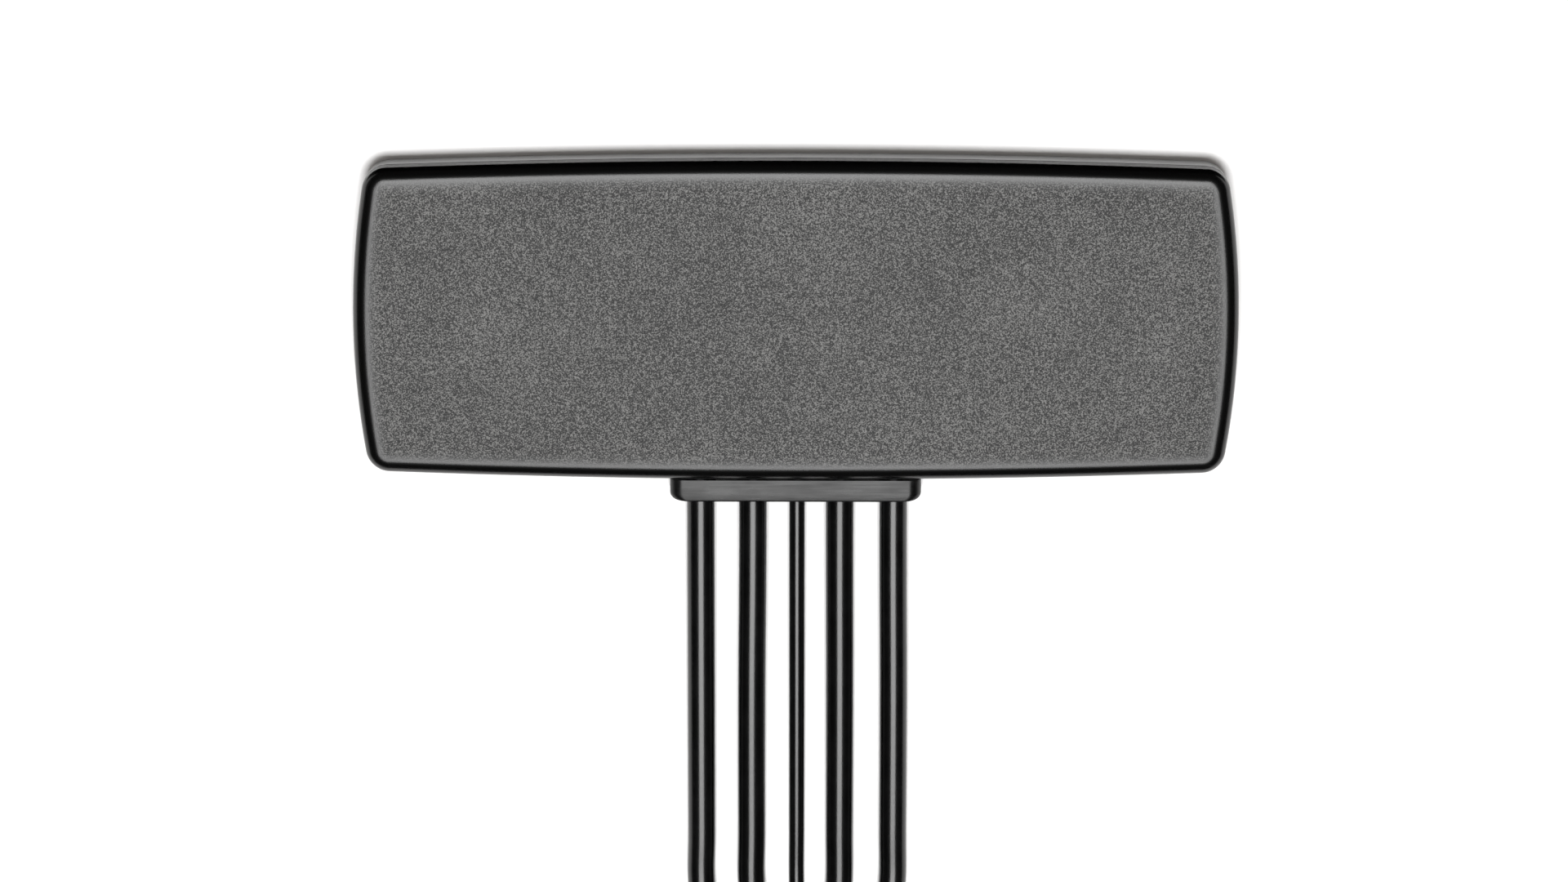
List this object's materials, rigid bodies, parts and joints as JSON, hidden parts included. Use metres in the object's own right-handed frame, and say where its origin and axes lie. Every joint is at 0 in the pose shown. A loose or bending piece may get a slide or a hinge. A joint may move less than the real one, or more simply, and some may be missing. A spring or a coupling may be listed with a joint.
{
  "type": "adhesive-mount combination antenna",
  "caption": "Low-profile black stick-on antenna housing with bulging sides, a seam round its wall, and a lead gland with parallel coaxial leads that end in screw-on plugs.",
  "frame": {"origin": "on the surface that the adhesive pad sticks to, under the middle of the housing and its gland together", "axes": "+X along the long side, to the right as seen from the front with the leads down; +Y from the gland to the opposite long side; +Z out of the front face"},
  "size_m": [0.1599, 0.2665, 0.0244],
  "materials": {
    "housing": "black ABS or ASA with a fine spark texture, semi-matt",
    "gland": "smooth black elastomer or nylon, satin",
    "foam": "black acrylic foam tape, matt",
    "seal": "black silicone, satin",
    "jacket": "black polyethylene coaxial jacket, satin",
    "sleeve": "black heat-shrink sleeve, satin",
    "strap": "black hook-and-loop strap, matt",
    "board": "green solder mask over fibreglass, satin",
    "ceramic": "fired ceramic, satin",
    "tinned": "tinned steel, satin",
    "steel": "stainless steel, satin",
    "plug": "gold-plated brass, polished",
    "contact": "gold-plated contact, polished"
  },
  "bodies": {
    "antenna": {"adhesive_pad": "foam", "base_tray": "housing", "cable_gland": "gland", "clamp_bar": "gland", "clamp_screw_1": "steel", "clamp_screw_2": "steel", "coil_tie_1": "strap", "coil_tie_2": "strap", "coil_tie_3": "strap", "cover_shell": "housing", "gnss_board": "board", "gnss_patch": "ceramic", "gnss_shield_can": "tinned", "housing_screw_1": "steel", "housing_screw_2": "steel", "housing_screw_3": "steel", "housing_screw_4": "steel", "inner_lead_gnss": "jacket", "inner_lead_lte_a": "jacket", "inner_lead_lte_b": "jacket", "inner_lead_wifi_a": "jacket", "inner_lead_wifi_b": "jacket", "lead_coil": "jacket", "lead_gnss": "jacket", "lead_lte_a": "jacket", "lead_lte_b": "jacket", "lead_wifi_a": "jacket", "lead_wifi_b": "jacket", "lte_board_a": "board", "lte_board_b": "board", "plug_body_gnss": "plug", "plug_body_lte_a": "plug", "plug_body_lte_b": "plug", "plug_body_wifi_a": "plug", "plug_body_wifi_b": "plug", "plug_pin_gnss": "contact", "plug_pin_lte_a": "contact", "plug_pin_lte_b": "contact", "plug_pin_wifi_a": "contact", "plug_pin_wifi_b": "contact", "seal_gasket": "seal", "sleeve_gnss": "sleeve", "sleeve_lte_a": "sleeve", "sleeve_lte_b": "sleeve", "sleeve_wifi_a": "sleeve", "sleeve_wifi_b": "sleeve", "tail_gnss": "jacket", "tail_lte_a": "jacket", "tail_lte_b": "jacket", "tail_wifi_a": "jacket", "tail_wifi_b": "jacket", "wifi_board_a": "board", "wifi_board_b": "board"},
    "nut_lte_a": {"coupling_nut_lte_a": "plug"},
    "nut_wifi_a": {"coupling_nut_wifi_a": "plug"},
    "nut_gnss": {"coupling_nut_gnss": "plug"},
    "nut_wifi_b": {"coupling_nut_wifi_b": "plug"},
    "nut_lte_b": {"coupling_nut_lte_b": "plug"}
  },
  "joints": [
    {"name": "nut_turn_lte_a", "type": "hinge", "parent": "antenna", "child": "nut_lte_a", "pos_m": [0.0625, -0.2311, 0.0049], "axis": [0, -1, 0], "continuous": true},
    {"name": "nut_turn_wifi_a", "type": "hinge", "parent": "antenna", "child": "nut_wifi_a", "pos_m": [0.073, -0.2311, 0.0049], "axis": [0, -1, 0], "continuous": true},
    {"name": "nut_turn_gnss", "type": "hinge", "parent": "antenna", "child": "nut_gnss", "pos_m": [0.052, -0.2311, 0.0049], "axis": [0, -1, 0], "continuous": true},
    {"name": "nut_turn_wifi_b", "type": "hinge", "parent": "antenna", "child": "nut_wifi_b", "pos_m": [0.031, -0.2311, 0.0049], "axis": [0, -1, 0], "continuous": true},
    {"name": "nut_turn_lte_b", "type": "hinge", "parent": "antenna", "child": "nut_lte_b", "pos_m": [0.0415, -0.2311, 0.0049], "axis": [0, -1, 0], "continuous": true}
  ]
}
